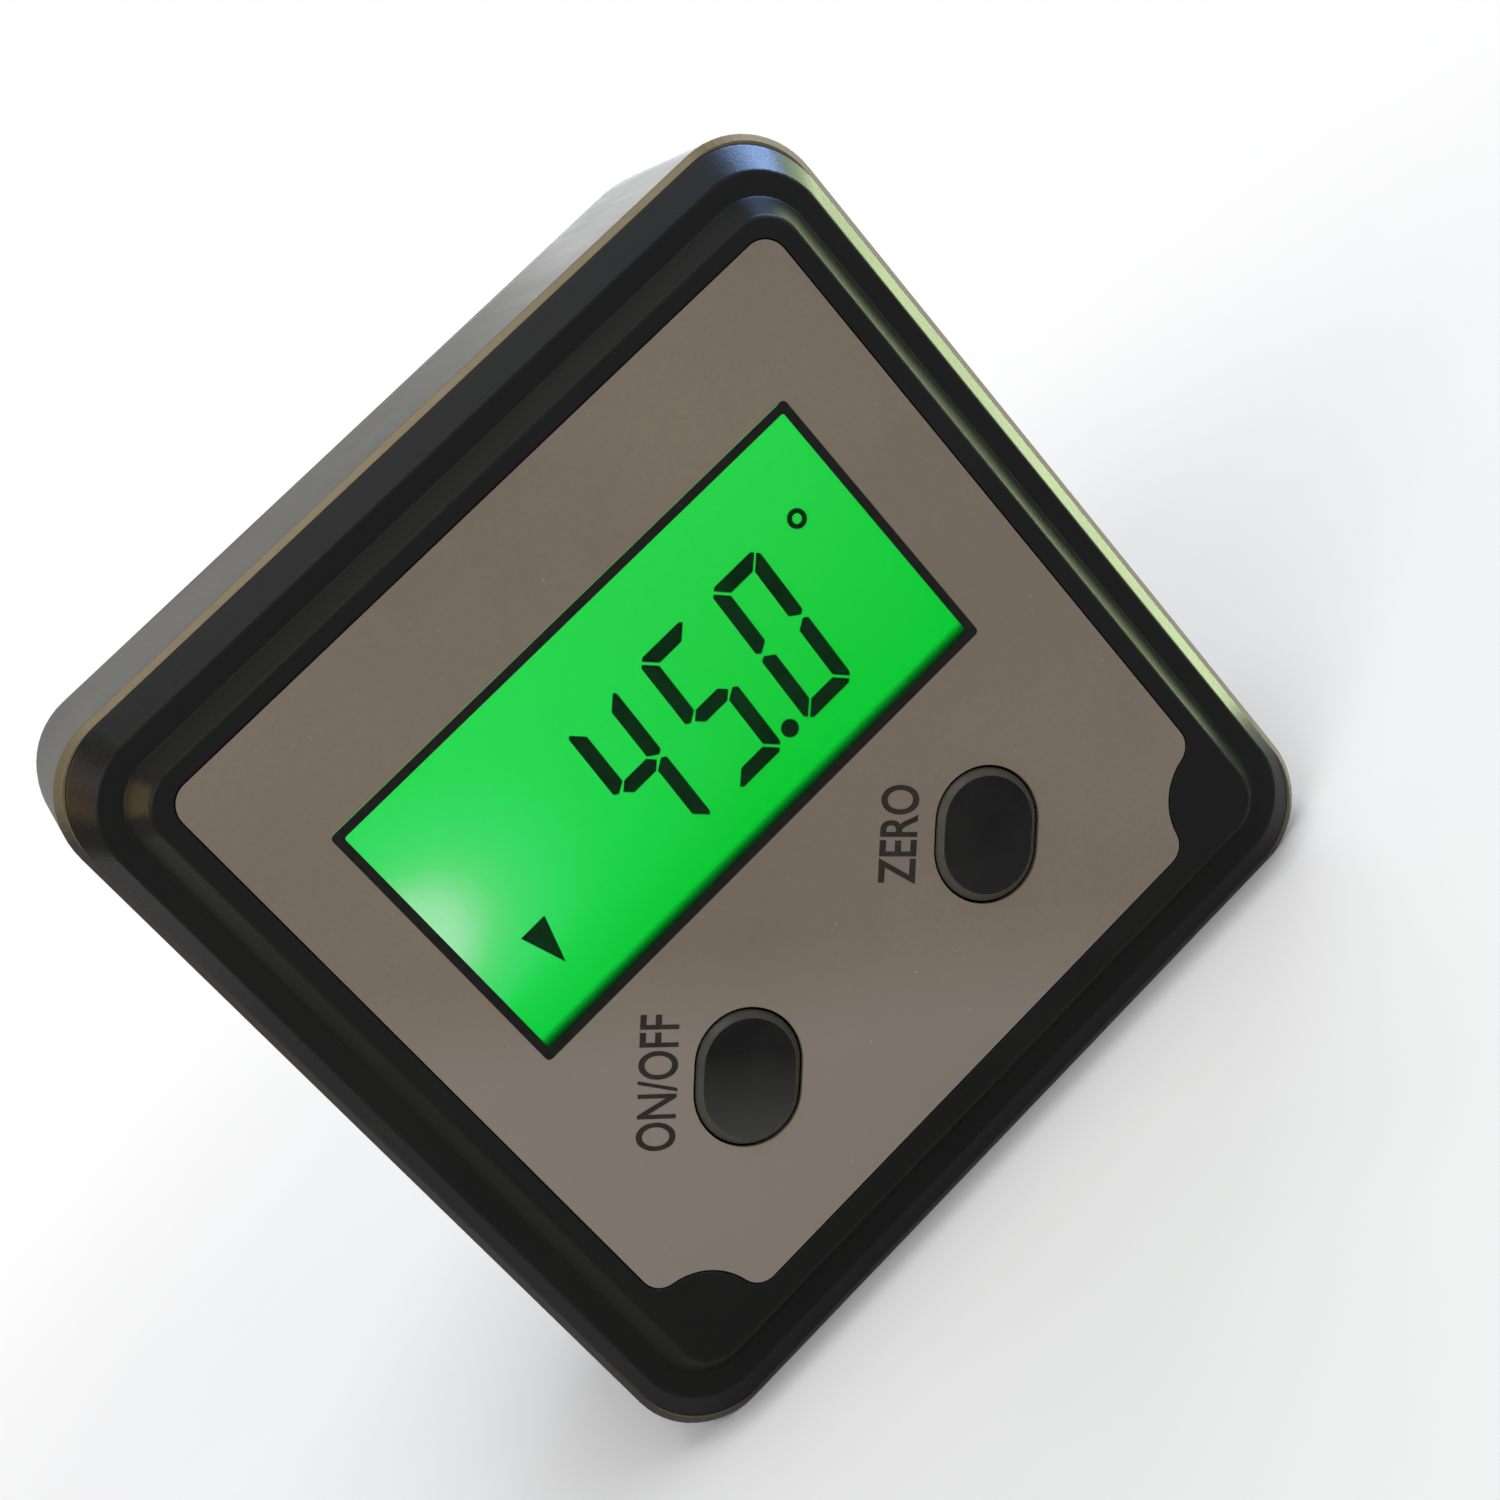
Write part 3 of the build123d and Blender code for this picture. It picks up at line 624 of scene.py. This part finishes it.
def printing_ink(name, dark, pale):
    g = Graph(name)
    base = g.blend(g.vary(g.noise(2400, 3), 0, 1), linear(*dark), linear(*pale))
    g.join(base, g.shader.inputs["Base Color"])
    g.join(g.vary(g.noise(1200, 2), 0.5, 0.62), g.shader.inputs["Roughness"])
    g.fix("Specular IOR Level", INK_SHINE)
    g.join(g.bump(g.noise(5000, 2), 3 * MICRON, 0.4), g.shader.inputs["Normal"])
    return g.material


LABEL_INK = printing_ink("label_ink", (34, 31, 29), (46, 43, 39))
WINDOW_INK = printing_ink("window_ink", (14, 14, 12), (24, 24, 21))
INK_PROUD = 0.012 * MM
INK_SUNK = 0.008 * MM
LEAN = 45


def text_mesh(words, weight):
    """Flat text lying in its own XY plane, as a mesh with a little thickness."""
    curve = bpy.data.curves.new("word", "FONT")
    curve.body = words
    curve.size = 1.0
    curve.extrude = 0.5
    curve.offset = weight
    curve.resolution_u = 6
    holder = bpy.data.objects.new("word", curve)
    bpy.context.scene.collection.objects.link(holder)
    bpy.context.view_layer.update()
    settled = holder.evaluated_get(bpy.context.evaluated_depsgraph_get())
    mesh = bpy.data.meshes.new_from_object(settled)
    bpy.data.objects.remove(holder)
    return mesh


def mesh_box(mesh):
    low = Vector(min(v.co[i] for v in mesh.vertices) for i in range(3))
    high = Vector(max(v.co[i] for v in mesh.vertices) for i in range(3))
    return low, high


def printed_word(name, words, start, capital, length, weight):
    """A leaning word whose baseline starts at a point of the label, in mm from its middle."""
    mesh = text_mesh(words, weight)
    low, high = mesh_box(mesh)
    capital_low, capital_high = mesh_box(text_mesh("E", weight))
    across = length * MM / (high.x - low.x)
    up = capital * MM / (capital_high.y - capital_low.y)
    thick = (INK_PROUD + INK_SUNK) / (high.z - low.z)
    mesh.transform(Matrix.Translation((-low.x, -capital_low.y, -low.z)))
    mesh.transform(Matrix.Diagonal((across, up, thick, 1.0)))
    mesh.transform(Matrix.Rotation(math.radians(LEAN), 4, "Z"))
    mesh.transform(Matrix.Rotation(math.radians(90), 4, "X"))
    x, z = label_middle.x + start[0] * MM, label_middle.z + start[1] * MM
    mesh.transform(Matrix.Translation((x, FACE_Y + INK_SUNK, z)))
    mesh.materials.clear()
    mesh.materials.append(LABEL_INK)
    piece = bpy.data.objects.new(name, mesh)
    bpy.context.scene.collection.objects.link(piece)
    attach(piece, "housing")
    print(name, len(mesh.polygons), "faces")


printed_word("on_off_lettering", "ON/OFF", (-15.73, -11.80), 2.24, 7.65, 0.012)
printed_word("zero_lettering", "ZERO", (4.33, -10.90), 2.24, 5.62, 0.016)

# %% [markdown]
# The clear pane has a thin black frame printed round it, which laps the seam and hides the rim of
# the glass below. It is a flat ring between two rounded rectangles, as thick as the other ink.

# %% Frame printed on the pane
BORDER_WIDTH = 0.45 * MM
BORDER_LAP = 0.08 * MM
OUTER_RADIUS, INNER_RADIUS = 0.25 * MM, 0.15 * MM
CORNER_STEPS = 6


def rounded_loop(low, high, inset, radius):
    """Points of a rounded rectangle in the plane of the face, inset from a box."""
    points = []
    left, right = low.x + inset + radius, high.x - inset - radius
    bottom, top = low.z + inset + radius, high.z - inset - radius
    for i, (x, z) in enumerate(((right, top), (left, top), (left, bottom), (right, bottom))):
        for j in range(CORNER_STEPS + 1):
            turn = math.radians(90 * (i + j / CORNER_STEPS))
            points.append((x + radius * math.cos(turn), z + radius * math.sin(turn)))
    return points


def printed_frame(name, node, width):
    low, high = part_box(node)
    loops = (rounded_loop(low, high, -BORDER_LAP, OUTER_RADIUS),
             rounded_loop(low, high, width, INNER_RADIUS))
    shape = bmesh.new()
    rings = [[shape.verts.new((x, y, z)) for x, z in loop]
             for y in (FACE_Y - INK_PROUD, FACE_Y + INK_SUNK) for loop in loops]
    outer_front, inner_front, outer_back, inner_back = rings
    count = len(outer_front)
    for first, second in ((outer_front, inner_front), (inner_front, inner_back),
                          (inner_back, outer_back), (outer_back, outer_front)):
        for i in range(count):
            j = (i + 1) % count
            shape.faces.new((first[i], second[i], second[j], first[j]))
    bmesh.ops.recalc_face_normals(shape, faces=shape.faces)
    mesh = bpy.data.meshes.new(name)
    shape.to_mesh(mesh)
    shape.free()
    mesh.materials.append(WINDOW_INK)
    piece = bpy.data.objects.new(name, mesh)
    bpy.context.scene.collection.objects.link(piece)
    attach(piece, "housing")
    print(name, len(mesh.polygons), "faces")


printed_frame("window_frame_print", "display_window", BORDER_WIDTH)

# %% [markdown]
# ## Floor, world and lamps
# The gauge stands on a plain pale floor under soft studio light. The camera, the metal and the
# gloss all see a white background, while the light that falls on the gauge stays at a plain
# level. The floor is white and fades into the background away from the gauge, keeping the shadow.

# %% Light paths that see the background
def background_share(tree):
    """One for camera, glossy and transmission rays, and nought for light that falls on surfaces."""
    path = tree.nodes.new("ShaderNodeLightPath")
    share = path.outputs["Is Camera Ray"]
    for name in ("Is Glossy Ray", "Is Transmission Ray"):
        node = tree.nodes.new("ShaderNodeMath")
        node.operation = "MAXIMUM"
        tree.links.new(share, node.inputs[0])
        tree.links.new(path.outputs[name], node.inputs[1])
        share = node.outputs[0]
    return share


world = bpy.data.worlds.new("studio")
bpy.context.scene.world = world
world.use_nodes = True
sky = world.node_tree
soft = sky.nodes["Background"]
soft.inputs["Color"].default_value = (0.42, 0.42, 0.43, 1.0)
soft.inputs["Strength"].default_value = 1.0
white = sky.nodes.new("ShaderNodeBackground")
white.inputs["Color"].default_value = (1.0, 1.0, 1.0, 1.0)
mixer = sky.nodes.new("ShaderNodeMixShader")
sky.links.new(background_share(sky), mixer.inputs["Fac"])
sky.links.new(soft.outputs[0], mixer.inputs[1])
sky.links.new(white.outputs[0], mixer.inputs[2])
sky.links.new(mixer.outputs[0], sky.nodes["World Output"].inputs["Surface"])

# %% Floor
FLOOR_RADIUS = 3.0
FADE_FROM = 0.06
FADE_TO = 0.18


def studio_floor():
    mesh = bpy.data.meshes.new("studio_floor")
    shape = bmesh.new()
    bmesh.ops.create_circle(shape, cap_ends=True, radius=FLOOR_RADIUS, segments=96)
    shape.to_mesh(mesh)
    shape.free()
    floor = bpy.data.objects.new("studio_floor", mesh)
    bpy.context.scene.collection.objects.link(floor)
    g = Graph("studio_floor")
    g.join(g.blend(g.vary(g.noise(40, 3), 0, 1), (0.86, 0.86, 0.86, 1), (0.88, 0.88, 0.88, 1)),
           g.shader.inputs["Base Color"])
    g.fix("Roughness", 0.9)
    g.fix("Specular IOR Level", 0.0)
    length = g.add("ShaderNodeVectorMath", operation="LENGTH")
    g.join(g.place, length.inputs[0])
    far = g.add("ShaderNodeMapRange", interpolation_type="SMOOTHSTEP")
    g.join(length.outputs["Value"], far.inputs["Value"])
    far.inputs["From Min"].default_value = FADE_FROM
    far.inputs["From Max"].default_value = FADE_TO
    share = g.maths("MULTIPLY", far.outputs["Result"], background_share(g.tree))
    glow = g.add("ShaderNodeEmission")
    glow.inputs["Color"].default_value = (1, 1, 1, 1)
    mix = g.add("ShaderNodeMixShader")
    g.join(share, mix.inputs["Fac"])
    g.join(g.shader.outputs[0], mix.inputs[1])
    g.join(glow.outputs[0], mix.inputs[2])
    g.join(mix.outputs[0], g.tree.nodes["Material Output"].inputs["Surface"])
    floor.data.materials.append(g.material)


studio_floor()

# %% [markdown]
# ## Lamps
# One soft box stands in front and above, one overhead and one low behind the gauge. Four small
# cards light the gloss of the moulded front alone, each from where that slope would mirror a
# bright thing in the room. The side card draws the greenish line down the right-hand slope, the
# corner card the blue glint at the upper right corner, and the warm card the amber patch at the
# upper left one. The left card is faint, and lifts the left-hand slope.

# %% Soft boxes
def soft_box(name, place, aim, size, power, colour=(1, 1, 1)):
    """A flat lamp of a given width and height, turned towards a point."""
    data = bpy.data.lights.new(name, "AREA")
    data.shape = "RECTANGLE"
    data.size, data.size_y = size
    data.energy = power
    data.color = colour
    lamp = bpy.data.objects.new(name, data)
    lamp.location = place
    lamp.rotation_euler = (Vector(aim) - Vector(place)).to_track_quat("-Z", "Y").to_euler()
    lamp.visible_camera = False
    bpy.context.scene.collection.objects.link(lamp)
    print(name, power, "W")
    return lamp


def gloss_card(name, **settings):
    """A lamp that is seen only in the gloss of the front moulding."""
    lamp = soft_box(name, **settings)
    lamp.visible_diffuse = False
    front_only = bpy.data.collections.new(lamp.name + "_receivers")
    front_only.objects.link(nodes["front_bezel"])
    lamp.light_linking.receiver_collection = front_only


MIDDLE = (0.0, 0.0, 0.027)
soft_box("front_lamp", (-0.32, -0.46, 0.42), MIDDLE, size=(0.35, 0.35), power=1.65)
soft_box("top_lamp", (0.08, -0.13, 0.57), MIDDLE, size=(0.36, 0.36), power=1.3)
soft_box("back_lamp", (0.30, 0.45, 0.14), MIDDLE, size=(0.36, 0.36), power=2.0,
         colour=(0.94, 0.97, 1.0))
gloss_card("side_card", place=(0.044, -0.003, 0.028), aim=(0.027, -0.012, 0.028),
           size=(0.034, 0.056), power=0.052, colour=(0.78, 1.0, 0.50))
gloss_card("corner_card", place=(0.126, -0.024, 0.112), aim=(0.024, -0.012, 0.051),
           size=(0.045, 0.062), power=0.77, colour=(0.31, 0.49, 0.89))
gloss_card("warm_card", place=(-0.068, -0.012, 0.096), aim=(-0.026, -0.012, 0.052),
           size=(0.044, 0.048), power=0.056, colour=(1.0, 0.64, 0.2))
gloss_card("left_card", place=(-0.086, 0.0, 0.036), aim=(-0.026, -0.012, 0.044),
           size=(0.05, 0.02), power=0.0045)

# %% [markdown]
# ## Sizes
# A helper turns a box into plain lists of numbers.

# %% Sizes as plain numbers
def plain(box):
    return [[float(x) for x in corner] for corner in box]
